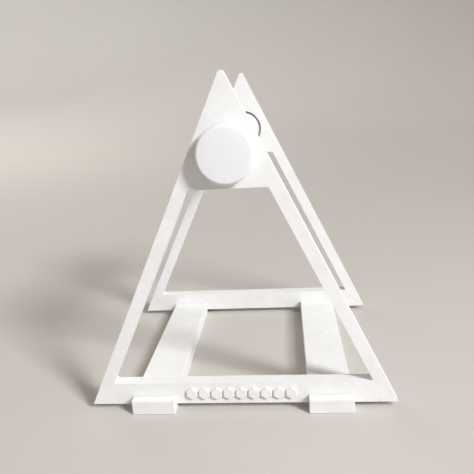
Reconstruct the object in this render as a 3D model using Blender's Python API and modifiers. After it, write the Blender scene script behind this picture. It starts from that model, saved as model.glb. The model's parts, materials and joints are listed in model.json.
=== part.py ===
"""Spool holder stand: two printed triangular side frames that slot into two notched
base rails, with an axle that turns in a 608 ball bearing at the head of each frame.

The origin is on the table, under the middle of the stand.  +X is to the right, +Y to
the back and +Z up, and lengths are in metres.  Everything at one end of the axle is
built once for the front and once more, turned half round, for the rear.
"""
from math import atan2, cos, hypot, pi, radians, sin, sqrt

import bmesh
import bpy
from mathutils import Matrix, Vector

MM = 0.001

# Driving dimensions -----------------------------------------------------------------

FRAME_BASE_WIDTH = 158 * MM
FRAME_APEX_HEIGHT = 162 * MM      # from the bottom edge to where the sides would meet
FRAME_THICKNESS = 7 * MM
FRAME_GAP = 115 * MM              # clear space for the spool, between the two frames
APEX_RADIUS = 1.2 * MM
LEG_WIDTH = 6.0 * MM              # square across the sloping leg
BAR_HEIGHT = 12 * MM
WINDOW_FILLET = 1 * MM
FRAME_EDGE_CHAMFER = 0.3 * MM
HEAD_SIDE_WALL = 4.4 * MM         # from the bearing seat to the sloping edges
HEAD_LOWER_WALL = 4.2 * MM        # from the bearing seat down to the window

PAD_COUNT = 9
PAD_ACROSS_FLATS = 5.6 * MM
PAD_PITCH = 6.4 * MM
PAD_PROUD = 1.2 * MM
PAD_ROOT = 0.6 * MM               # how far a pad is sunk into the bar to join it

RAIL_WIDTH = 22.5 * MM
RAIL_HEIGHT = 8 * MM
RAIL_SPACING = 91 * MM            # centre to centre
NOTCH_FLOOR = 3 * MM
END_BLOCK = 5 * MM                # rail left standing outside each notch
RAIL_EDGE_CHAMFER = 0.4 * MM

BEARING_OUTER = 22 * MM
BEARING_BORE = 8 * MM
BEARING_WIDTH = 7 * MM
BALL_DIAMETER = 3.97 * MM
BALL_COUNT = 7
RING_SHOULDER = 1.5 * MM          # from the ball circle to the land of either ring
RING_CHAMFER = 0.3 * MM
SHIELD_THICKNESS = 0.4 * MM
SHIELD_SEAT_DEPTH = 0.9 * MM
SHIELD_SEAT_STEP = 0.85 * MM      # how far the seat is cut out beyond the land
CAGE_WALL = 1.5 * MM
CAGE_BACK = 0.45 * MM             # solid ring behind the ball pockets
CAGE_FRONT = 0.6 * MM             # from the ball centres to the open side

SLEEVE_DIAMETER = 20 * MM
SLEEVE_SIDE_GAP = 1.2 * MM
SLEEVE_BOSS_DIAMETER = 11.4 * MM
KNOB_OVERLAP = 1.8 * MM           # how far the knob covers the frame round the bearing
KNOB_THICKNESS = 6.6 * MM
KNOB_EDGE_RADIUS = 1.4 * MM
NUT_ACROSS_FLATS = 13 * MM
NUT_THICKNESS = 4 * MM
NUT_RECESS = 0.5 * MM
ROD_END = 0.1 * MM                # thread that shows past the nut
SPACER_DIAMETER = 11.4 * MM

FIT_CLEARANCE = 0.3 * MM          # between printed pieces that slot together
PRESS_CLEARANCE = 0.15 * MM       # all round a bearing, shaft or bore
TOUCH = 0.15 * MM                 # between faces that bear on each other
BALL_CLEARANCE = 0.27 * MM        # between a ball and its groove or pocket
RUNNING_GAP = 0.4 * MM            # between the turning knob and the frame

ROUND_STEPS = 32
KNOB_STEPS = 48
BALL_STEPS = 10
BALL_BANDS = 6
POCKET_STEPS = 14
FILLET_STEPS = 3
APEX_STEPS = 6
GROOVE_STEPS = 4

# Values that follow from them -------------------------------------------------------

SIDE_LENGTH = hypot(FRAME_BASE_WIDTH / 2, FRAME_APEX_HEIGHT)
SIDE_SLOPE = FRAME_BASE_WIDTH / 2 / FRAME_APEX_HEIGHT
SEAT_RADIUS = BEARING_OUTER / 2 + PRESS_CLEARANCE
FRAME_BOTTOM = NOTCH_FLOOR + FIT_CLEARANCE
AXLE_BELOW_APEX = (SEAT_RADIUS + HEAD_SIDE_WALL) * SIDE_LENGTH / (FRAME_BASE_WIDTH / 2)
AXLE_IN_FRAME = FRAME_APEX_HEIGHT - AXLE_BELOW_APEX
AXLE_HEIGHT = FRAME_BOTTOM + AXLE_IN_FRAME
WINDOW_TOP = AXLE_IN_FRAME - SEAT_RADIUS - HEAD_LOWER_WALL

FRAME_MIDDLE = FRAME_GAP / 2 + FRAME_THICKNESS / 2
FRAME_FACE = FRAME_GAP / 2 + FRAME_THICKNESS
BEARING_INSIDE = FRAME_MIDDLE - BEARING_WIDTH / 2
BEARING_OUTSIDE = FRAME_MIDDLE + BEARING_WIDTH / 2

ROD_RADIUS = BEARING_BORE / 2 - PRESS_CLEARANCE / 2
BORE_RADIUS = BEARING_BORE / 2 + PRESS_CLEARANCE / 2
BALL_CIRCLE = (BEARING_OUTER + BEARING_BORE) / 4
GROOVE_RADIUS = BALL_DIAMETER / 2 + BALL_CLEARANCE

KNOB_BACK = max(FRAME_FACE, BEARING_OUTSIDE) + RUNNING_GAP
KNOB_FRONT = KNOB_BACK + KNOB_THICKNESS
KNOB_RADIUS = BEARING_OUTER / 2 + KNOB_OVERLAP
NUT_INSIDE = KNOB_BACK + NUT_RECESS
NUT_OUTSIDE = NUT_INSIDE + NUT_THICKNESS
ROD_HALF_LENGTH = NUT_OUTSIDE + ROD_END
SLEEVE_END = min(FRAME_GAP / 2, BEARING_INSIDE) - SLEEVE_SIDE_GAP
SLEEVE_BOSS_END = BEARING_INSIDE - TOUCH

# Finishes: colour, roughness, metallic ----------------------------------------------

WHITE_PLASTIC = ((0.86, 0.86, 0.85, 1), 0.42, 0)
BRIGHT_STEEL = ((0.62, 0.63, 0.65, 1), 0.22, 1)
ZINC_STEEL = ((0.55, 0.56, 0.58, 1), 0.38, 1)
BALL_STEEL = ((0.78, 0.79, 0.80, 1), 0.10, 1)
CAGE_NYLON = ((0.80, 0.76, 0.62, 1), 0.50, 0)


# Scene, collections and objects -----------------------------------------------------

def clear_scene():
    for thing in list(bpy.data.objects):
        bpy.data.objects.remove(thing, do_unlink=True)


def new_collection(name):
    collection = bpy.data.collections.new(name)
    bpy.context.scene.collection.children.link(collection)
    return collection


def place(thing, parent, location=(0, 0, 0), turn=(0, 0, 0)):
    thing.parent = parent
    thing.location = location
    thing.rotation_euler = turn


def add_part(name, mesh, finish):
    """A named piece in the stand's collection, with a material of its own."""
    colour, roughness, metallic = finish
    material = bpy.data.materials.new(name + "_finish")
    material.use_nodes = True
    shader = material.node_tree.nodes["Principled BSDF"]
    shader.inputs["Base Color"].default_value = colour
    shader.inputs["Roughness"].default_value = roughness
    shader.inputs["Metallic"].default_value = metallic
    part = bpy.data.objects.new(name, mesh)
    if not mesh.materials:
        mesh.materials.append(None)
    part.material_slots[0].link = 'OBJECT'
    part.material_slots[0].material = material
    stand.objects.link(part)
    return part


def add_cutter(name, mesh):
    cutter = bpy.data.objects.new(name, mesh)
    cutter.hide_render = True
    cutter.display_type = 'WIRE'
    cutters.objects.link(cutter)
    return cutter


def combine(part, operation, cutter):
    boolean = part.modifiers.new(cutter.name, 'BOOLEAN')
    boolean.operation = operation
    boolean.object = cutter
    boolean.solver = 'EXACT'


def chamfer(part, width):
    bevel = part.modifiers.new("edge_chamfer", 'BEVEL')
    bevel.width = width
    bevel.segments = 1
    bevel.limit_method = 'ANGLE'
    bevel.angle_limit = radians(40)


# Shapes -----------------------------------------------------------------------------

def mesh_from(shape, name):
    mesh = bpy.data.meshes.new(name)
    shape.to_mesh(mesh)
    shape.free()
    return mesh


def box_mesh(name, size, centre=(0, 0, 0)):
    shape = bmesh.new()
    matrix = Matrix.Translation(centre) @ Matrix.Diagonal((*size, 1))
    bmesh.ops.create_cube(shape, size=1, matrix=matrix)
    return mesh_from(shape, name)


def ball_mesh(name, radius, steps, bands, centres=((0, 0, 0),)):
    shape = bmesh.new()
    for centre in centres:
        bmesh.ops.create_uvsphere(shape, u_segments=steps, v_segments=bands, radius=radius,
                                  matrix=Matrix.Translation(centre))
    mesh = mesh_from(shape, name)
    mesh.shade_smooth()
    return mesh


def prism_mesh(name, sides, radius, depth, centres=((0, 0, 0),)):
    """Upright prisms along Z, each with a corner on its +Y side."""
    shape = bmesh.new()
    for centre in centres:
        bmesh.ops.create_cone(shape, cap_ends=True, segments=sides, radius1=radius,
                              radius2=radius, depth=depth,
                              matrix=Matrix.Translation(centre))
    return mesh_from(shape, name)


def rounded(corners, radius, steps):
    """The outline through the corners, with an arc of the radius at each one."""
    outline = []
    for index, corner in enumerate(corners):
        here = Vector(corner)
        back = (Vector(corners[index - 1]) - here).normalized()
        ahead = (Vector(corners[(index + 1) % len(corners)]) - here).normalized()
        half_angle = back.angle(ahead) / 2
        centre = here + (back + ahead).normalized() * radius / sin(half_angle)
        first = here + back * radius * cos(half_angle) / sin(half_angle) - centre
        side = 1 if back.cross(ahead) < 0 else -1
        for step in range(steps + 1):
            turn = side * (pi - 2 * half_angle) * step / steps
            outline.append(centre + Matrix.Rotation(turn, 2) @ first)
    return outline


def circle(centre, radius, steps):
    return [(centre[0] + radius * cos(2 * pi * step / steps),
             centre[1] + radius * sin(2 * pi * step / steps)) for step in range(steps)]


def plate_mesh(name, outlines, thickness):
    """A flat plate with holes, drawn in XY and as thick either side of Z = 0."""
    drawing = bpy.data.curves.new(name, 'CURVE')
    drawing.dimensions = '2D'
    drawing.fill_mode = 'BOTH'
    drawing.extrude = thickness / 2
    for outline in outlines:
        spline = drawing.splines.new('POLY')
        spline.points.add(len(outline) - 1)
        for point, (x, y) in zip(spline.points, outline):
            point.co = (x, y, 0, 1)
        spline.use_cyclic_u = True
    drawn = bpy.data.objects.new(name, drawing)
    bpy.context.scene.collection.objects.link(drawn)
    evaluated = drawn.evaluated_get(bpy.context.evaluated_depsgraph_get())
    mesh = bpy.data.meshes.new_from_object(evaluated)
    bpy.data.objects.remove(drawn, do_unlink=True)
    shape = bmesh.new()
    shape.from_mesh(mesh)
    bmesh.ops.remove_doubles(shape, verts=shape.verts, dist=0.001 * MM)
    shape.to_mesh(mesh)
    shape.free()
    return mesh


def turned_part(name, profile, finish, closed=True, steps=ROUND_STEPS):
    """A piece turned about its own Z axis, from (radius, Z) points.

    The profile runs down the outer side.  A closed one comes back up the bore, and an
    open one starts and ends on the axis.
    """
    mesh = bpy.data.meshes.new(name)
    edges = [(index, index + 1) for index in range(len(profile) - 1)]
    if closed:
        edges.append((len(profile) - 1, 0))
    mesh.from_pydata([(radius, 0, z) for radius, z in profile], edges, [])
    part = add_part(name, mesh, finish)
    screw = part.modifiers.new("turning", 'SCREW')
    screw.steps = steps
    screw.render_steps = steps
    screw.use_merge_vertices = True
    screw.merge_threshold = 0.001 * MM
    screw.use_smooth_shade = False
    return part


def ring_profile(outer, inner, low, high):
    return [(outer, high), (outer, low), (inner, low), (inner, high)]


def arc(centre, radius, start, end, steps):
    """Points of an arc about (radius, Z), from one angle to another."""
    angles = [start + (end - start) * step / steps for step in range(steps + 1)]
    return [(centre[0] + radius * cos(angle), centre[1] + radius * sin(angle))
            for angle in angles]


# Side frames ------------------------------------------------------------------------

FACING_OUT = (radians(90), 0, 0)   # turns a piece's own Z to point out along -Y


def frame_outlines():
    """The outer edge, the window and the bearing seat, from the middle of the base."""
    half_base = FRAME_BASE_WIDTH / 2
    base = [(-half_base, 0), (half_base, 0)]
    apex_arc = rounded([*base, (0, FRAME_APEX_HEIGHT)], APEX_RADIUS, APEX_STEPS)
    outer = [*base, *apex_arc[-APEX_STEPS - 1:]]

    leg_across = LEG_WIDTH * SIDE_LENGTH / FRAME_APEX_HEIGHT
    window_low = half_base - BAR_HEIGHT * SIDE_SLOPE - leg_across
    window_high = half_base - WINDOW_TOP * SIDE_SLOPE - leg_across
    window = rounded([(-window_low, BAR_HEIGHT), (window_low, BAR_HEIGHT),
                      (window_high, WINDOW_TOP), (-window_high, WINDOW_TOP)],
                     WINDOW_FILLET, FILLET_STEPS)

    seat = circle((0, AXLE_IN_FRAME), SEAT_RADIUS, ROUND_STEPS)
    return [outer, window, seat]


def add_side_frame(side, parent):
    """The triangular frame, with a row of raised hexagons along its bottom bar."""
    mesh = plate_mesh(side + "_side_frame", frame_outlines(), FRAME_THICKNESS)
    frame = add_part(side + "_side_frame", mesh, WHITE_PLASTIC)
    place(frame, parent, (0, -FRAME_MIDDLE, FRAME_BOTTOM), FACING_OUT)
    chamfer(frame, FRAME_EDGE_CHAMFER)

    depth = PAD_ROOT + PAD_PROUD
    height = FRAME_THICKNESS / 2 - PAD_ROOT + depth / 2
    first = -(PAD_COUNT - 1) / 2
    centres = [((first + index) * PAD_PITCH, BAR_HEIGHT / 2, height)
               for index in range(PAD_COUNT)]
    pads = add_cutter(side + "_pads", prism_mesh(side + "_pads", 6,
                                                 PAD_ACROSS_FLATS / sqrt(3), depth, centres))
    place(pads, parent, (0, -FRAME_MIDDLE, FRAME_BOTTOM), FACING_OUT)
    combine(frame, 'UNION', pads)


# Base rails -------------------------------------------------------------------------

def add_base_rail(name, x):
    """A flat rail with a notch across it for each frame and a stop block outside."""
    notch_length = FRAME_THICKNESS + 2 * FIT_CLEARANCE
    length = 2 * (FRAME_MIDDLE + notch_length / 2 + END_BLOCK)
    mesh = box_mesh(name, (RAIL_WIDTH, length, RAIL_HEIGHT), (0, 0, RAIL_HEIGHT / 2))
    rail = add_part(name, mesh, WHITE_PLASTIC)
    place(rail, None, (x, 0, 0))
    for end, y in (("front", -FRAME_MIDDLE), ("rear", FRAME_MIDDLE)):
        cutter_name = name + "_" + end + "_notch"
        size = (2 * RAIL_WIDTH, notch_length, 2 * (RAIL_HEIGHT - NOTCH_FLOOR))
        notch = add_cutter(cutter_name, box_mesh(cutter_name, size))
        place(notch, None, (x, y, RAIL_HEIGHT))
        combine(rail, 'DIFFERENCE', notch)
    chamfer(rail, RAIL_EDGE_CHAMFER)


# Bearings ---------------------------------------------------------------------------

def outer_ring_profile():
    land = BALL_CIRCLE + RING_SHOULDER
    seat = land + SHIELD_SEAT_STEP
    outer = BEARING_OUTER / 2
    half = BEARING_WIDTH / 2
    ledge = half - SHIELD_SEAT_DEPTH
    reach = atan2(sqrt(GROOVE_RADIUS ** 2 - RING_SHOULDER ** 2), RING_SHOULDER)
    groove = arc((BALL_CIRCLE, 0), GROOVE_RADIUS, -reach, reach, GROOVE_STEPS)
    return [(outer - RING_CHAMFER, half), (outer, half - RING_CHAMFER),
            (outer, RING_CHAMFER - half), (outer - RING_CHAMFER, -half),
            (seat, -half), (seat, -ledge), (land, -ledge), *groove,
            (land, ledge), (seat, ledge), (seat, half)]


def inner_ring_profile():
    land = BALL_CIRCLE - RING_SHOULDER
    half = BEARING_WIDTH / 2
    reach = atan2(sqrt(GROOVE_RADIUS ** 2 - RING_SHOULDER ** 2), -RING_SHOULDER)
    groove = arc((BALL_CIRCLE, 0), GROOVE_RADIUS, reach, 2 * pi - reach, GROOVE_STEPS)
    return [(land, half), *groove, (land, -half), (BORE_RADIUS + RING_CHAMFER, -half),
            (BORE_RADIUS, RING_CHAMFER - half), (BORE_RADIUS, half - RING_CHAMFER),
            (BORE_RADIUS + RING_CHAMFER, half)]


def add_bearing(side, parent):
    """A shielded 608 bearing in the seat: rings, shields, and a crown cage of balls."""
    middle = (0, -FRAME_MIDDLE, 0)
    name = side + "_bearing_"
    outer_ring = turned_part(name + "outer_ring", outer_ring_profile(), BRIGHT_STEEL)
    inner_ring = turned_part(name + "inner_ring", inner_ring_profile(), BRIGHT_STEEL)
    place(outer_ring, parent, middle, FACING_OUT)
    place(inner_ring, parent, middle, FACING_OUT)

    shield_outer = BALL_CIRCLE + RING_SHOULDER + SHIELD_SEAT_STEP - TOUCH
    shield_inner = BALL_CIRCLE - RING_SHOULDER + FIT_CLEARANCE
    shield_low = BEARING_WIDTH / 2 - SHIELD_SEAT_DEPTH + TOUCH
    for face, sign in (("outside", 1), ("inside", -1)):
        low, high = sorted((sign * shield_low, sign * (shield_low + SHIELD_THICKNESS)))
        shield = turned_part(name + face + "_shield",
                             ring_profile(shield_outer, shield_inner, low, high), ZINC_STEEL)
        place(shield, parent, middle, FACING_OUT)

    pocket_radius = BALL_DIAMETER / 2 + BALL_CLEARANCE
    cage = turned_part(name + "cage",
                       ring_profile(BALL_CIRCLE + CAGE_WALL / 2, BALL_CIRCLE - CAGE_WALL / 2,
                                    -pocket_radius - CAGE_BACK, CAGE_FRONT),
                       CAGE_NYLON, steps=2 * POCKET_STEPS)
    place(cage, parent, middle, FACING_OUT)
    centres = circle((0, 0), BALL_CIRCLE, BALL_COUNT)
    pocket_mesh = ball_mesh(name + "pockets", pocket_radius, POCKET_STEPS,
                            POCKET_STEPS // 2, [(x, y, 0) for x, y in centres])
    pockets = add_cutter(name + "pockets", pocket_mesh)
    place(pockets, parent, middle, FACING_OUT)
    combine(cage, 'DIFFERENCE', pockets)

    mesh = ball_mesh(name + "ball", BALL_DIAMETER / 2, BALL_STEPS, BALL_BANDS)
    for number, (x, z) in enumerate(centres, start=1):
        ball = add_part(name + "ball_" + str(number), mesh, BALL_STEEL)
        place(ball, parent, (x, -FRAME_MIDDLE, z))


# Axle -------------------------------------------------------------------------------

def add_axle_end(side, parent):
    """The spacer ring outside the bearing, and the knob with the nut held in it."""
    spacer = turned_part(side + "_spacer_ring",
                         ring_profile(SPACER_DIAMETER / 2, BORE_RADIUS,
                                      BEARING_OUTSIDE + TOUCH, NUT_INSIDE - TOUCH),
                         ZINC_STEEL)
    place(spacer, parent, turn=FACING_OUT)

    nut = add_part(side + "_knob_nut",
                   prism_mesh(side + "_knob_nut", 6, NUT_ACROSS_FLATS / sqrt(3),
                              NUT_THICKNESS), ZINC_STEEL)
    place(nut, parent, (0, -NUT_INSIDE - NUT_THICKNESS / 2, 0), FACING_OUT)
    bore = add_cutter(side + "_nut_bore",
                      prism_mesh(side + "_nut_bore", ROUND_STEPS, BORE_RADIUS,
                                 2 * NUT_THICKNESS))
    place(bore, parent, nut.location, FACING_OUT)
    combine(nut, 'DIFFERENCE', bore)

    rim = arc((KNOB_RADIUS - KNOB_EDGE_RADIUS, KNOB_FRONT - KNOB_EDGE_RADIUS),
              KNOB_EDGE_RADIUS, pi / 2, 0, FILLET_STEPS)
    bore_end = ROD_HALF_LENGTH + TOUCH
    profile = [(0, KNOB_FRONT), *rim, (KNOB_RADIUS, KNOB_BACK + FRAME_EDGE_CHAMFER),
               (KNOB_RADIUS - FRAME_EDGE_CHAMFER, KNOB_BACK), (BORE_RADIUS, KNOB_BACK),
               (BORE_RADIUS, bore_end), (0, bore_end)]
    knob = turned_part(side + "_knob", profile, WHITE_PLASTIC, False, KNOB_STEPS)
    place(knob, parent, turn=FACING_OUT)
    pocket_depth = NUT_OUTSIDE + TOUCH - KNOB_BACK
    pocket_corner = (NUT_ACROSS_FLATS / 2 + PRESS_CLEARANCE) * 2 / sqrt(3)
    pocket = add_cutter(side + "_nut_pocket",
                        prism_mesh(side + "_nut_pocket", 6, pocket_corner,
                                   2 * pocket_depth))
    place(pocket, parent, (0, -KNOB_BACK, 0), FACING_OUT)
    combine(knob, 'DIFFERENCE', pocket)


def add_axle(parent):
    """The threaded rod through both bearings and the sleeve that the spool rides on."""
    end = ROD_HALF_LENGTH
    tip = ROD_RADIUS - RING_CHAMFER
    rod = turned_part("axle_rod", [(0, end), (tip, end), (ROD_RADIUS, end - RING_CHAMFER),
                                   (ROD_RADIUS, RING_CHAMFER - end), (tip, -end), (0, -end)],
                      ZINC_STEEL, False)
    place(rod, parent, turn=FACING_OUT)

    outer = SLEEVE_DIAMETER / 2
    boss = SLEEVE_BOSS_DIAMETER / 2
    sleeve = turned_part("axle_sleeve",
                         [(boss, SLEEVE_BOSS_END), (boss, SLEEVE_END), (outer, SLEEVE_END),
                          (outer, -SLEEVE_END), (boss, -SLEEVE_END), (boss, -SLEEVE_BOSS_END),
                          (BORE_RADIUS, -SLEEVE_BOSS_END), (BORE_RADIUS, SLEEVE_BOSS_END)],
                         WHITE_PLASTIC)
    place(sleeve, parent, turn=FACING_OUT)


def smooth_round_parts():
    """Smooth shading on the turned pieces, kept sharp at their real edges."""
    for part in stand.objects:
        if "turning" in part.modifiers:
            part.modifiers["turning"].use_smooth_shade = True
            part.data.set_sharp_from_angle(angle=radians(30))


# The stand --------------------------------------------------------------------------

clear_scene()
stand = new_collection("spool_holder_stand")
cutters = new_collection("cutters")

axle_line = bpy.data.objects.new("axle_line", None)
axle_line.location = (0, 0, AXLE_HEIGHT)
stand.objects.link(axle_line)
add_axle(axle_line)

for side, half_turn in (("front", 0), ("rear", pi)):
    base = bpy.data.objects.new(side + "_base", None)
    axle_end = bpy.data.objects.new(side + "_axle_end", None)
    for empty in (base, axle_end):
        empty.rotation_euler = (0, 0, half_turn)
        stand.objects.link(empty)
    axle_end.parent = axle_line
    add_side_frame(side, base)
    add_bearing(side, axle_end)
    add_axle_end(side, axle_end)

add_base_rail("left_base_rail", -RAIL_SPACING / 2)
add_base_rail("right_base_rail", RAIL_SPACING / 2)
smooth_round_parts()
bpy.context.view_layer.update()
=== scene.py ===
"""The looks of the spool holder stand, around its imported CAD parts.  Metres, +Z up."""
import json
from math import cos, pi, radians, sin, sqrt

import bmesh
import bpy
from mathutils import Matrix, Vector


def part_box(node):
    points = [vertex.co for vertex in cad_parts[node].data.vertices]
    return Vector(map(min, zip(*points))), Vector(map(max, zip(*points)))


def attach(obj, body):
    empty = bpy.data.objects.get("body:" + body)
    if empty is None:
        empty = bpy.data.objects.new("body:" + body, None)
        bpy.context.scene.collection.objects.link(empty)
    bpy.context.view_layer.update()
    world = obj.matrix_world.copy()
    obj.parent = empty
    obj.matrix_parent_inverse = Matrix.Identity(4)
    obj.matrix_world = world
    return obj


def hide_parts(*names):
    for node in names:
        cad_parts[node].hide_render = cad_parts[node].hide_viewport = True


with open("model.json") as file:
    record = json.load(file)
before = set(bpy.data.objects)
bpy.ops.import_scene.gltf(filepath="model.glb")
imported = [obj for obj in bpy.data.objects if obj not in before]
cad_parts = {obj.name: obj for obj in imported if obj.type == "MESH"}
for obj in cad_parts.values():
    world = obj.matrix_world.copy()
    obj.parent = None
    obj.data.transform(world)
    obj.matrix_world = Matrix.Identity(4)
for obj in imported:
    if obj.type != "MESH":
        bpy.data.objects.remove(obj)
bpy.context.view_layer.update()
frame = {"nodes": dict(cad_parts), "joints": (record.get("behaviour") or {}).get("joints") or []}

MM = 0.001

# Sizes of the printed pieces, as in CAD apart from the roundings ----------------------

BASE_WIDTH = 158 * MM
APEX_HEIGHT = 162 * MM               # to where the sides would meet
APEX_RADIUS = 1.2 * MM
LEG_WIDTH = 6.0 * MM                 # square across the sloping leg
BAR_HEIGHT = 12 * MM
HEAD_LOWER_WALL = 4.2 * MM           # from the bearing seat down to the window
WINDOW_FILLET = 1 * MM
FRAME_ROUNDING = 0.35 * MM
PAD_COUNT = 9
PAD_ACROSS_FLATS = 5.6 * MM
PAD_PITCH = 6.4 * MM
PAD_PROUD = 1.2 * MM
PAD_ROOT = 0.6 * MM                  # how far a pad is sunk into the bar
PAD_ROUNDING = 0.35 * MM
NOTCH_FLOOR = 3 * MM
RAIL_ROUNDING = 0.45 * MM
KNOB_ROLL = 1.4 * MM                 # the round edge of its face
KNOB_CROWN = 0.35 * MM
KNOB_BACK_EASE = 0.4 * MM
SLEEVE_SIDE_GAP = 1.2 * MM
SLEEVE_BOSS_RADIUS = 5.7 * MM
SLEEVE_EASE = 0.4 * MM
FIT_CLEARANCE = 0.3 * MM
PRESS_CLEARANCE = 0.15 * MM
ROD_CLEARANCE = 0.1 * MM

# Sizes of the bearings and spacers -----------------------------------------------------

BALL_COUNT = 7
BALL_CIRCLE = 7.5 * MM               # radius through the balls' centres
GROOVE_RADIUS = 2.255 * MM
GROOVE_REACH = 48                    # degrees to each side of its bottom
OUTER_LAND = 9.0 * MM                # radius beside the outer ring's groove
RACE_EASE = 0.3 * MM
LAND_EASE = 0.2 * MM
SHIELD_SEAT = 9.85 * MM              # radius
SHIELD_SEAT_DEPTH = 0.9 * MM
SHIELD_SHEET = 0.18 * MM
SHIELD_RIM_EASE = 0.25 * MM
SHIELD_RIM_DROP = 0.05 * MM
SHIELD_STEPS = ((8.75 * MM, 0), (8.4 * MM, -0.12 * MM), (7.0 * MM, -0.12 * MM),
                (6.75 * MM, -0.02 * MM), (6.3 * MM, -0.02 * MM))  # radius, height
SPACER_EASE = 0.08 * MM

FINE_STEPS = 96
KNOB_STEPS = 128
KNOB_FACE_STEPS = 6
GROOVE_STEPS = 12
FILLET_STEPS = 8
APEX_STEPS = 10
EDGE_STEPS = 3
PAD_EDGE_STEPS = 4
ROUNDED_ANGLE = radians(40)          # edges sharper than this get the rounding
SHARP_ANGLE = radians(32)            # turned edges sharper than this stay crisp
WELD_DISTANCE = 0.001 * MM

SIDES = ("front", "rear")
OUTWARD = {"front": -1, "rear": 1}   # which way along Y each side's outer face looks
AXLE_MIDDLE = Vector((0, 0, frame["joints"][0]["pos_m"][2]))


# Node materials ----------------------------------------------------------------------

class Nodes:
    """A material's node tree, with short calls for the nodes that the finishes use."""

    def __init__(self, name):
        self.material = bpy.data.materials.new(name)
        self.material.use_nodes = True
        self.tree = self.material.node_tree
        self.shader = self.tree.nodes["Principled BSDF"]
        self.place = self.tree.nodes.new("ShaderNodeTexCoord").outputs["Object"]

    def add(self, kind, inputs=(), **settings):
        node = self.tree.nodes.new("ShaderNode" + kind)
        for key, value in settings.items():
            setattr(node, key, value)
        for key, value in dict(inputs).items():
            if isinstance(value, bpy.types.NodeSocket):
                self.tree.links.new(value, node.inputs[key])
            else:
                node.inputs[key].default_value = value
        return node

    def math(self, operation, first, second=0.0):
        return self.add("Math", {0: first, 1: second}, operation=operation).outputs[0]

    def noise(self, scale, detail=2.0, roughness=0.5, vector=None):
        inputs = {"Vector": vector or self.place, "Scale": scale, "Detail": detail,
                  "Roughness": roughness}
        return self.add("TexNoise", inputs).outputs["Fac"]

    def bands(self, period, axis, vector=None, distortion=0.0):
        """Even ridges across one axis, the period apart, in metres."""
        inputs = {"Vector": vector or self.place, "Scale": 2 * pi / 20 / period,
                  "Distortion": distortion, "Detail": 0.0}
        wave = self.add("TexWave", inputs, wave_type='BANDS', bands_direction=axis)
        return wave.outputs["Fac"]

    def remap(self, value, low, high, to_low, to_high):
        inputs = {"Value": value, "From Min": low, "From Max": high,
                  "To Min": to_low, "To Max": to_high}
        return self.add("MapRange", inputs).outputs["Result"]

    def mix_colours(self, factor, first, second):
        node = self.add("Mix", data_type='RGBA')
        colours = [socket for socket in node.inputs if socket.type == 'RGBA']
        for socket, value in ((node.inputs[0], factor), (colours[0], first),
                              (colours[1], second)):
            if isinstance(value, bpy.types.NodeSocket):
                self.tree.links.new(value, socket)
            else:
                socket.default_value = value
        return [socket for socket in node.outputs if socket.type == 'RGBA'][0]

    def mix_values(self, factor, first, second):
        inverse = self.math('SUBTRACT', 1.0, factor)
        return self.math('ADD', self.math('MULTIPLY', first, inverse),
                         self.math('MULTIPLY', second, factor))

    def set(self, **values):
        for key, value in values.items():
            socket = self.shader.inputs[key.replace("_", " ")]
            if isinstance(value, bpy.types.NodeSocket):
                self.tree.links.new(value, socket)
            else:
                socket.default_value = value

    def bump(self, height, distance, strength=1.0):
        inputs = {"Height": height, "Distance": distance, "Strength": strength}
        self.set(Normal=self.add("Bump", inputs).outputs["Normal"])


LAYER_HEIGHT = 0.2 * MM
LINE_WIDTH = 0.45 * MM
PRINT_RELIEF = 0.022 * MM
TURNING_PITCH = 0.05 * MM
TURNING_RELIEF = 0.002 * MM
STREAK = 0.04                        # how slowly streaks change along a line
FLAT_FACE = 0.8                      # a face's normal has at least this along the axis
WHITE = (0.88, 0.88, 0.875, 1)
WARM_WHITE = (0.80, 0.795, 0.78, 1)
# The knob's two tones are darker than the frame's white: painted shade standing in for the
# dimmer light on the knob's face.
KNOB_WHITE_WITH_PAINTED_SHADE = (0.84, 0.845, 0.855, 1)
KNOB_DARK_WITH_PAINTED_SHADE = (0.80, 0.805, 0.815, 1)
GRIME = (0.42, 0.39, 0.35, 1)


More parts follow.
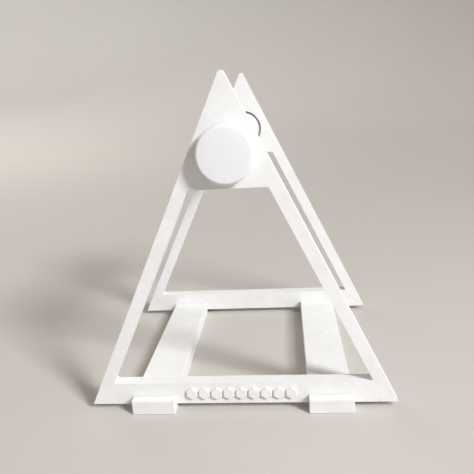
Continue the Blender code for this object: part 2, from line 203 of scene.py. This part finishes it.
def printed_plastic(name, layer_axis, seed, light=WHITE, dark=WARM_WHITE):
    """White printed PLA: layers stacked along one axis, and raster lines on its faces.

    The walls show the layers' edges and the faces show the diagonal raster, each with
    streaks where some lines came out fuller than others.
    """
    n = Nodes(name)
    spot = n.add("VectorMath", {0: n.place, 1: (seed, seed, seed)}, operation='ADD').outputs[0]
    diagonal = {'Y': (0, radians(45), 0), 'Z': (0, 0, radians(45))}[layer_axis]
    turned = n.add("Mapping", {"Vector": spot, "Rotation": diagonal}).outputs[0]
    along_raster = n.add("Mapping", {"Vector": turned, "Scale": (1, STREAK, STREAK)}).outputs[0]
    drawn_out = {'Y': (STREAK, 1, STREAK), 'Z': (STREAK, STREAK, 1)}[layer_axis]
    along_layers = n.add("Mapping", {"Vector": spot, "Scale": drawn_out}).outputs[0]

    normal = n.add("NewGeometry").outputs["Normal"]
    across = n.add("SeparateXYZ", {0: normal}).outputs["XYZ".index(layer_axis)]
    on_face = n.math('GREATER_THAN', n.math('ABSOLUTE', across), FLAT_FACE)
    lines = n.mix_values(on_face, n.bands(LAYER_HEIGHT, layer_axis, spot),
                         n.math('MULTIPLY', n.bands(LINE_WIDTH, 'X', turned), 0.6))
    streaks = n.mix_values(on_face, n.noise(1100, 3.0, 0.65, along_layers),
                           n.noise(650, 3.0, 0.65, along_raster))
    waviness = n.noise(240, 3.0, 0.55, spot)
    blobs = n.remap(n.noise(800, 2.0, 0.6, spot), 0.66, 0.8, 0.0, 1.0)
    relief = n.math('ADD', n.math('MULTIPLY', streaks, 1.6), lines)
    relief = n.math('ADD', relief, n.math('MULTIPLY', waviness, 3.0))
    relief = n.math('ADD', relief, n.math('MULTIPLY', blobs, 1.2))
    n.bump(relief, PRINT_RELIEF)

    cloud = n.remap(n.noise(70, 3.0, 0.6, spot), 0.35, 0.7, 0.0, 0.5)
    fleck = n.remap(n.noise(420, 4.0, 0.7, spot), 0.3, 0.75, 0.0, 0.4)
    uneven = n.remap(streaks, 0.35, 0.7, 0.0, 0.4)
    tone = n.math('MINIMUM', n.math('ADD', n.math('ADD', cloud, fleck), uneven), 1.0)
    plastic = n.mix_colours(tone, light, dark)
    cell = n.add("TexVoronoi", {"Vector": spot, "Scale": 200.0, "Randomness": 1.0})
    pick = n.add("SeparateXYZ", {0: cell.outputs["Color"]}).outputs[0]
    dot = n.remap(cell.outputs["Distance"], 0.045, 0.1, 0.8, 0.0)
    speck = n.math('MULTIPLY', dot, n.math('GREATER_THAN', pick, 0.78))
    n.set(Base_Color=n.mix_colours(speck, plastic, GRIME),
          Roughness=n.remap(streaks, 0.3, 0.75, 0.32, 0.52), IOR=1.46)
    return n.material


def metal(name, colour, roughness):
    """Steel with fine turning marks, and a little unevenness in its gloss."""
    n = Nodes(name)
    smear = n.noise(900, 3.0, 0.6)
    marks = n.bands(TURNING_PITCH, 'Y', distortion=0.6)
    shade = tuple(0.82 * part for part in colour[:3]) + (1,)
    n.set(Base_Color=n.mix_colours(n.remap(smear, 0.35, 0.7, 0.0, 1.0), colour, shade),
          Roughness=n.remap(smear, 0.3, 0.7, 0.8 * roughness, 1.3 * roughness),
          Metallic=1.0)
    n.bump(marks, TURNING_RELIEF, 0.6)
    return n.material


def nylon(name):
    n = Nodes(name)
    cloud = n.remap(n.noise(700, 3.0, 0.6), 0.3, 0.7, 0.0, 1.0)
    n.set(Base_Color=n.mix_colours(cloud, (0.78, 0.74, 0.60, 1), (0.84, 0.80, 0.68, 1)),
          Roughness=n.remap(cloud, 0.0, 1.0, 0.42, 0.55))
    n.bump(n.noise(2400), 0.01 * MM)
    return n.material


def plain_floor():
    n = Nodes("pale_floor")
    cloud = n.noise(3, 3.0)
    n.set(Base_Color=n.mix_colours(cloud, (0.53, 0.50, 0.465, 1), (0.56, 0.53, 0.495, 1)),
          Roughness=0.8)
    return n.material


# Mesh helpers ------------------------------------------------------------------------

def new_object(name, data):
    thing = bpy.data.objects.new(name, data)
    bpy.context.scene.collection.objects.link(thing)
    return thing


def new_mesh(name, shape):
    """The mesh of a finished bmesh, which is freed."""
    mesh = bpy.data.meshes.new(name)
    shape.to_mesh(mesh)
    shape.free()
    return mesh


def new_box(name, size, centre):
    shape = bmesh.new()
    bmesh.ops.create_cube(shape, size=1, matrix=Matrix.Translation(centre)
                          @ Matrix.Diagonal((*size, 1)))
    return new_object(name, new_mesh(name, shape))


def add_piece(name, mesh, material, body, node):
    """A visible piece that rides on a body, in the place of a CAD node."""
    piece = new_object(name, mesh)
    mesh.name = name
    mesh.materials.clear()
    mesh.materials.append(material)
    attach(piece, body)
    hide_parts(node)
    return piece


def round_edges(thing, width):
    thing.data.shade_smooth()
    bevel = thing.modifiers.new("rounding", 'BEVEL')
    bevel.width = width
    bevel.segments = EDGE_STEPS
    bevel.limit_method = 'ANGLE'
    bevel.angle_limit = ROUNDED_ANGLE
    bevel.harden_normals = True
    bevel.use_clamp_overlap = True


def evaluated_mesh(thing):
    """The mesh of an object with its modifiers, in place of the object itself."""
    graph = bpy.context.evaluated_depsgraph_get()
    mesh = bpy.data.meshes.new_from_object(thing.evaluated_get(graph))
    mesh.transform(thing.matrix_world)
    bpy.data.objects.remove(thing, do_unlink=True)
    return mesh


def weld(mesh):
    shape = bmesh.new()
    shape.from_mesh(mesh)
    bmesh.ops.remove_doubles(shape, verts=shape.verts, dist=WELD_DISTANCE)
    shape.to_mesh(mesh)
    shape.free()
    return mesh


def rounded(corners, radius, steps):
    """The outline through the corners, with an arc of the radius at each one."""
    outline = []
    for index, corner in enumerate(corners):
        here = Vector(corner)
        back = (Vector(corners[index - 1]) - here).normalized()
        ahead = (Vector(corners[(index + 1) % len(corners)]) - here).normalized()
        half_angle = back.angle(ahead) / 2
        centre = here + (back + ahead).normalized() * radius / sin(half_angle)
        first = here + back * radius * cos(half_angle) / sin(half_angle) - centre
        side = 1 if back.cross(ahead) < 0 else -1
        for step in range(steps + 1):
            turn = side * (pi - 2 * half_angle) * step / steps
            outline.append(centre + Matrix.Rotation(turn, 2) @ first)
    return outline


def circle(centre, radius, steps):
    return [(centre[0] + radius * cos(2 * pi * step / steps),
             centre[1] + radius * sin(2 * pi * step / steps)) for step in range(steps)]


def arc(centre, radius, start, end, steps):
    angles = [start + (end - start) * step / steps for step in range(steps + 1)]
    return [(centre[0] + radius * cos(angle), centre[1] + radius * sin(angle))
            for angle in angles]


def facing(origin, outward):
    """Stands a drawing up at the origin, its own +Z looking outward along Y."""
    half_turn = Matrix.Rotation(0 if outward < 0 else pi, 4, 'Z')
    return Matrix.Translation(origin) @ half_turn @ Matrix.Rotation(pi / 2, 4, 'X')


def upright_plate(name, outlines, thickness, origin, outward):
    """A flat plate with holes, standing across Y, with its outer face looking outward."""
    drawing = bpy.data.curves.new(name, 'CURVE')
    drawing.dimensions = '2D'
    drawing.fill_mode = 'BOTH'
    drawing.extrude = thickness / 2
    for outline in outlines:
        spline = drawing.splines.new('POLY')
        spline.points.add(len(outline) - 1)
        for point, (x, y) in zip(spline.points, outline):
            point.co = (x, y, 0, 1)
        spline.use_cyclic_u = True
    drawn = new_object(name, drawing)
    drawn.matrix_world = facing(origin, outward)
    bpy.context.view_layer.update()
    return weld(evaluated_mesh(drawn))


def lathe(name, profile, centre, outward, closed=True, steps=FINE_STEPS):
    """A turned mesh about the line through the centre along Y.

    The profile holds (radius, distance) points, and distances grow outward.  A profile
    that isn't closed starts and ends on the axis.
    """
    shape = bmesh.new()
    place = facing(centre, outward)
    rings = []
    for radius, along in profile:
        count = steps if radius > 0 else 1
        rings.append([shape.verts.new(place @ Vector((radius * cos(2 * pi * k / steps),
                                                      radius * sin(2 * pi * k / steps),
                                                      along))) for k in range(count)])
    pairs = list(zip(rings, rings[1:]))
    if closed:
        pairs.append((rings[-1], rings[0]))
    for upper, lower in pairs:
        for k in range(steps):
            following = (k + 1) % steps
            if len(upper) == 1:
                corners = (upper[0], lower[k], lower[following])
            elif len(lower) == 1:
                corners = (upper[k], lower[0], upper[following])
            else:
                corners = (upper[k], lower[k], lower[following], upper[following])
            shape.faces.new(corners)
    bmesh.ops.recalc_face_normals(shape, faces=shape.faces)
    mesh = new_mesh(name, shape)
    mesh.shade_smooth()
    mesh.set_sharp_from_angle(angle=SHARP_ANGLE)
    return mesh


# Sizes read from the frame -----------------------------------------------------------

def span(node, side):
    """How far a node reaches along Y from the middle: (inner end, outer end)."""
    low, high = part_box(node)
    ends = sorted((OUTWARD[side] * low.y, OUTWARD[side] * high.y))
    return ends[0], ends[1]


def plate_span(side):
    """How far a frame's plate reaches along Y, without its raised pads."""
    inner, outer = span(side + "_side_frame", side)
    return inner, outer - PAD_PROUD


def bearing_place(side):
    """Half of a bearing's width, and its middle on the axle."""
    inner, outer = span(side + "_bearing_outer_ring", side)
    half = (outer - inner) / 2
    return half, Vector((0, OUTWARD[side] * (inner + half), AXLE_MIDDLE.z))


def radius_of(node):
    low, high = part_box(node)
    return (high.x - low.x) / 2


def rod_bore():
    return radius_of("axle_rod") + ROD_CLEARANCE


# Printed pieces ----------------------------------------------------------------------

def frame_outlines(seat_radius):
    """The outer edge, the window and the bearing seat, from the middle of the base."""
    slope = BASE_WIDTH / 2 / APEX_HEIGHT
    side_length = sqrt((BASE_WIDTH / 2) ** 2 + APEX_HEIGHT ** 2)
    base = [(-BASE_WIDTH / 2, 0), (BASE_WIDTH / 2, 0)]
    apex_arc = rounded([*base, (0, APEX_HEIGHT)], APEX_RADIUS, APEX_STEPS)
    outer = [*base, *apex_arc[-APEX_STEPS - 1:]]
    axle_up = AXLE_MIDDLE.z - NOTCH_FLOOR - FIT_CLEARANCE
    window_top = axle_up - seat_radius - HEAD_LOWER_WALL
    leg_across = LEG_WIDTH * side_length / APEX_HEIGHT
    low_half = BASE_WIDTH / 2 - BAR_HEIGHT * slope - leg_across
    high_half = BASE_WIDTH / 2 - window_top * slope - leg_across
    window = rounded([(-low_half, BAR_HEIGHT), (low_half, BAR_HEIGHT),
                      (high_half, window_top), (-high_half, window_top)],
                     WINDOW_FILLET, FILLET_STEPS)
    return [outer, window, circle((0, axle_up), seat_radius, FINE_STEPS)]


def hexagon_pads(name, plate_half, origin, outward):
    """The row of raised hexagons, each with softly rounded edges, as one mesh."""
    shape = bmesh.new()
    depth = PAD_PROUD + PAD_ROOT
    for index in range(PAD_COUNT):
        along = (index - (PAD_COUNT - 1) / 2) * PAD_PITCH
        centre = (along, BAR_HEIGHT / 2, plate_half - PAD_ROOT + depth / 2)
        bmesh.ops.create_cone(shape, cap_ends=True, segments=6,
                              radius1=PAD_ACROSS_FLATS / sqrt(3),
                              radius2=PAD_ACROSS_FLATS / sqrt(3), depth=depth,
                              matrix=Matrix.Translation(centre))
    bmesh.ops.bevel(shape, geom=list(shape.edges), offset=PAD_ROUNDING,
                    segments=PAD_EDGE_STEPS, affect='EDGES', profile=0.5)
    pads = new_object(name, new_mesh(name, shape))
    pads.matrix_world = facing(origin, outward)
    bpy.context.view_layer.update()
    return pads


def add_side_frame(side, material):
    """One triangular frame, with its window, its bearing seat and its row of pads."""
    name = side + "_frame_print"
    outward = OUTWARD[side]
    inner, plate_outer = plate_span(side)
    thickness = plate_outer - inner
    middle = outward * (inner + plate_outer) / 2
    origin = Vector((0, middle, NOTCH_FLOOR + FIT_CLEARANCE))
    seat_radius = radius_of(side + "_bearing_outer_ring") + PRESS_CLEARANCE
    plate = new_object("plate", upright_plate(name, frame_outlines(seat_radius), thickness,
                                              origin, outward))
    round_edges(plate, FRAME_ROUNDING)
    pads = hexagon_pads(side + "_pads", thickness / 2, origin, outward)
    union = plate.modifiers.new("pads", 'BOOLEAN')
    union.operation = 'UNION'
    union.object = pads
    mesh = evaluated_mesh(plate)
    bpy.data.objects.remove(pads, do_unlink=True)
    add_piece(name, mesh, material, "stand", side + "_side_frame")


def notch_cutter(side, rail_top):
    """A box round the part of a frame's plate that stands in the rails."""
    inner, plate_outer = plate_span(side)
    size = (1, plate_outer - inner + 2 * FIT_CLEARANCE, 2 * (rail_top - NOTCH_FLOOR))
    return new_box("notch", size, (0, OUTWARD[side] * (inner + plate_outer) / 2, rail_top))


def add_rail(which, material):
    """A base rail with a notch for each frame, its edges softly rounded."""
    node = which + "_base_rail"
    low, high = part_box(node)
    rail = new_box("rail", high - low, (low + high) / 2)
    cutters = [notch_cutter(side, high.z) for side in SIDES]
    for cutter in cutters:
        rail.modifiers.new("notch", 'BOOLEAN').object = cutter
    mesh = evaluated_mesh(rail)
    for cutter in cutters:
        bpy.data.objects.remove(cutter, do_unlink=True)
    piece = add_piece(which + "_rail_print", mesh, material, "stand", node)
    round_edges(piece, RAIL_ROUNDING)


def add_knob(side, material):
    """The round knob: a faintly crowned face that rolls over into its side."""
    node = side + "_knob"
    back, front = span(node, side)
    radius = radius_of(node)
    flat = radius - KNOB_ROLL
    rim_top = front - KNOB_CROWN - KNOB_ROLL
    shares = [step / KNOB_FACE_STEPS for step in range(KNOB_FACE_STEPS + 1)]
    face = [(flat * share, front - KNOB_CROWN * share ** 2) for share in shares]
    rim = [(flat + KNOB_ROLL * sin(radians(angle)), rim_top + KNOB_ROLL * cos(radians(angle)))
           for angle in range(10, 91, 8)]
    rod_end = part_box("axle_rod")[1].y + ROD_CLEARANCE
    profile = [*face, *rim, (radius, back + KNOB_BACK_EASE), (radius - KNOB_BACK_EASE, back),
               (rod_bore(), back), (rod_bore(), rod_end), (0, rod_end)]
    mesh = lathe(node, profile, AXLE_MIDDLE, OUTWARD[side], False, KNOB_STEPS)
    add_piece(node + "_print", mesh, material, "axle", node)


def add_sleeve(material):
    """The spool's tube, with a narrower boss at each end that meets the inner ring."""
    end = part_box("axle_sleeve")[1].y
    radius = radius_of("axle_sleeve")
    shoulder = -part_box("front_side_frame")[1].y - SLEEVE_SIDE_GAP
    boss, ease, bore = SLEEVE_BOSS_RADIUS, SLEEVE_EASE, rod_bore()
    profile = [(boss, end), (boss, shoulder), (radius - ease, shoulder),
               (radius, shoulder - ease), (radius, ease - shoulder),
               (radius - ease, -shoulder), (boss, -shoulder), (boss, -end),
               (bore, -end), (bore, end)]
    mesh = lathe("sleeve_print", profile, AXLE_MIDDLE, OUTWARD["front"])
    add_piece("sleeve_print", mesh, material, "axle", "axle_sleeve")


# Bearings ----------------------------------------------------------------------------

def ball_groove(bottom):
    """The groove that the balls run in; its bottom lies at this angle from their centres."""
    return arc((BALL_CIRCLE, 0), GROOVE_RADIUS, radians(bottom - GROOVE_REACH),
               radians(bottom + GROOVE_REACH), GROOVE_STEPS)


def add_outer_race(side, material):
    """The outer ring, with a round edge outside and a seat for each shield inside."""
    node = side + "_bearing_outer_ring"
    half, middle = bearing_place(side)
    radius = radius_of(node)
    ledge = half - SHIELD_SEAT_DEPTH
    ease = [(radius - RACE_EASE, half), (radius - 0.3 * RACE_EASE, half - 0.3 * RACE_EASE),
            (radius, half - RACE_EASE)]
    profile = [*ease, *[(r, -y) for r, y in reversed(ease)], (SHIELD_SEAT, -half),
               (SHIELD_SEAT, -ledge), (OUTER_LAND, -ledge), *ball_groove(0),
               (OUTER_LAND, ledge), (SHIELD_SEAT, ledge), (SHIELD_SEAT, half)]
    mesh = lathe(node, profile, middle, OUTWARD[side])
    add_piece(side + "_bearing_outer_race", mesh, material, "stand", node)


def add_inner_race(side, material):
    node = side + "_bearing_inner_ring"
    half, middle = bearing_place(side)
    land = radius_of(node)
    bore = rod_bore()
    profile = [(land - LAND_EASE, half), (land, half - LAND_EASE), *ball_groove(180),
               (land, LAND_EASE - half), (land - LAND_EASE, -half),
               (bore + RACE_EASE, -half), (bore, RACE_EASE - half),
               (bore, half - RACE_EASE), (bore + RACE_EASE, half)]
    mesh = lathe(node, profile, middle, OUTWARD[side])
    add_piece(side + "_bearing_inner_race", mesh, material, "axle", node)


def add_shield(side, face, material):
    """A pressed shield on a bearing's outside or inside face, with a step and a lip."""
    node = side + "_bearing_" + face + "_shield"
    sign = {"outside": 1, "inside": -1}[face]
    middle = bearing_place(side)[1]
    low, high = span(node, side)
    top = abs((high if sign > 0 else low) - OUTWARD[side] * middle.y)
    rim = radius_of(node)
    outline = [(rim, -SHIELD_RIM_DROP), (rim - SHIELD_RIM_EASE, 0), *SHIELD_STEPS]
    upper = [(radius, top + step) for radius, step in outline]
    under = [(radius, up - SHIELD_SHEET) for radius, up in reversed(upper)]
    profile = [(radius, sign * up) for radius, up in [*upper, *under]]
    mesh = lathe(node, profile, middle, OUTWARD[side])
    add_piece(node + "_pressing", mesh, material, "stand", node)


def add_spacer(side, material):
    node = side + "_spacer_ring"
    back, front = span(node, side)
    radius = radius_of(node)
    profile = [(radius - SPACER_EASE, front), (radius, front - SPACER_EASE),
               (radius, back + SPACER_EASE), (radius - SPACER_EASE, back),
               (rod_bore(), back), (rod_bore(), front)]
    mesh = lathe(node, profile, AXLE_MIDDLE, OUTWARD[side])
    add_piece(node + "_turned", mesh, material, "axle", node)


def add_balls(side, material):
    """Finer balls in the place of the CAD ones."""
    for number in range(1, BALL_COUNT + 1):
        node = side + "_bearing_ball_" + str(number)
        low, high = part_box(node)
        shape = bmesh.new()
        bmesh.ops.create_icosphere(shape, subdivisions=3, radius=(high.z - low.z) / 2,
                                   matrix=Matrix.Translation((low + high) / 2))
        mesh = new_mesh(node, shape)
        mesh.shade_smooth()
        add_piece(node + "_polished", mesh, material, side + "_ball_set", node)


def finish_cad_node(node, material):
    part = frame["nodes"][node]
    if not part.material_slots:
        part.data.materials.append(material)
    for place in part.material_slots:
        place.material = material


# Stage, light and camera -------------------------------------------------------------

def add_stage():
    """A pale floor that curves up into a backdrop all round, and lets the suns in."""
    flat, turn, height, steps = 1.3, 0.9, 1.6, 64
    bend = [(flat + turn * sin(angle), turn - turn * cos(angle))
            for angle in (radians(step) for step in range(0, 91, 9))]
    profile = [(0, 0), (0.4, 0), *bend, (flat + turn, height)]
    shape = bmesh.new()
    rings = [[shape.verts.new((radius * cos(2 * pi * k / steps),
                               radius * sin(2 * pi * k / steps), up))
              for k in range(steps if radius else 1)] for radius, up in profile]
    for lower, upper in zip(rings, rings[1:]):
        for k in range(steps):
            following = (k + 1) % steps
            if len(lower) == 1:
                shape.faces.new((lower[0], upper[k], upper[following]))
            else:
                shape.faces.new((lower[k], upper[k], upper[following], lower[following]))
    mesh = new_mesh("floor", shape)
    mesh.shade_smooth()
    mesh.materials.append(plain_floor())
    floor = new_object("floor", mesh)
    floor.visible_shadow = False


def add_lamp(name, light, place, target):
    lamp = new_object(name, light)
    lamp.location = place
    lamp.rotation_mode = 'QUATERNION'
    lamp.rotation_quaternion = (Vector(target) - Vector(place)).to_track_quat('-Z', 'Y')


def add_soft_sun(name, place, strength, spread, colour):
    """Even light over the whole floor, from the side that the place is on."""
    light = bpy.data.lights.new(name, 'SUN')
    light.energy = strength
    light.angle = radians(spread)
    light.color = colour
    add_lamp(name, light, place, (0, 0, 0))


PANEL_TARGET = (0, -0.03, 0.08)


def add_panel(name, place, size, watts, colour):
    """A round panel of soft light, aimed a little in front of the stand's middle."""
    light = bpy.data.lights.new(name, 'AREA')
    light.shape = 'DISK'
    light.size = size
    light.energy = watts
    light.color = colour
    add_lamp(name, light, place, PANEL_TARGET)


def add_world():
    world = bpy.data.worlds.new("soft_room")
    world.use_nodes = True
    background = world.node_tree.nodes["Background"]
    background.inputs["Color"].default_value = (1, 0.92, 0.84, 1)
    background.inputs["Strength"].default_value = 0.05
    bpy.context.scene.world = world
    bpy.context.scene.view_settings.view_transform = 'Standard'


def add_lights():
    add_soft_sun("window_light", place=(0.92, -0.67, 0.70), strength=2.35, spread=13,
                 colour=(0.965, 0.99, 1.025))
    add_soft_sun("ceiling_bounce", place=(0.14, -0.2, 1), strength=0.75, spread=70,
                 colour=(1, 0.94, 0.87))
    add_panel("near_panel", place=(0.40, -0.38, 0.50), size=0.16, watts=2.3,
              colour=(0.98, 0.99, 1.01))
    add_panel("back_fill", place=(-0.9, 1.1, 0.8), size=0.9, watts=5,
              colour=(1, 0.97, 0.93))


CAMERA_PLACE = (0.02493, -0.29865, 0.15843)
CAMERA_YAW = radians(-5.71)
CAMERA_PITCH = radians(20.28)
CAMERA_ROLL = radians(3.72)
CAMERA_LENS = 40.36
CAMERA_SHIFT = 0.089


def add_camera():
    camera = bpy.data.cameras.new("camera")
    camera.sensor_width = 36
    camera.lens = CAMERA_LENS
    camera.shift_y = CAMERA_SHIFT
    camera.clip_start = 0.01
    camera.clip_end = 20
    eye = new_object("camera", camera)
    eye.matrix_world = (Matrix.Translation(CAMERA_PLACE)
                        @ Matrix.Rotation(-CAMERA_YAW, 4, 'Z')
                        @ Matrix.Rotation(pi / 2 - CAMERA_PITCH, 4, 'X')
                        @ Matrix.Rotation(-CAMERA_ROLL, 4, 'Z'))
    bpy.context.scene.camera = eye


# The stand ---------------------------------------------------------------------------

bearing_steel = metal("ground_steel", (0.60, 0.61, 0.63, 1), 0.2)
shield_steel = metal("pressed_steel", (0.56, 0.57, 0.58, 1), 0.32)
zinc = metal("zinc_plate", (0.58, 0.59, 0.60, 1), 0.36)
ball_steel = metal("polished_balls", (0.74, 0.75, 0.76, 1), 0.06)
cage_nylon = nylon("cage_nylon")

for index, side in enumerate(SIDES):
    add_side_frame(side, printed_plastic(side + "_frame_pla", 'Y', 0.31 + index))
    # The knob gets a darker copy of the frame's plastic: painted shade on its face.
    add_knob(side, printed_plastic(side + "_knob_pla", 'Y', 2.17 + index,
                                   KNOB_WHITE_WITH_PAINTED_SHADE, KNOB_DARK_WITH_PAINTED_SHADE))
    add_outer_race(side, bearing_steel)
    add_inner_race(side, bearing_steel)
    for face in ("outside", "inside"):
        add_shield(side, face, shield_steel)
    add_spacer(side, zinc)
    add_balls(side, ball_steel)
    finish_cad_node(side + "_bearing_cage", cage_nylon)
    finish_cad_node(side + "_knob_nut", zinc)
for index, which in enumerate(("left", "right")):
    add_rail(which, printed_plastic(which + "_rail_pla", 'Z', 4.4 + index))
add_sleeve(printed_plastic("sleeve_pla", 'Y', 6.3))
finish_cad_node("axle_rod", zinc)

add_stage()
add_world()
add_lights()
add_camera()
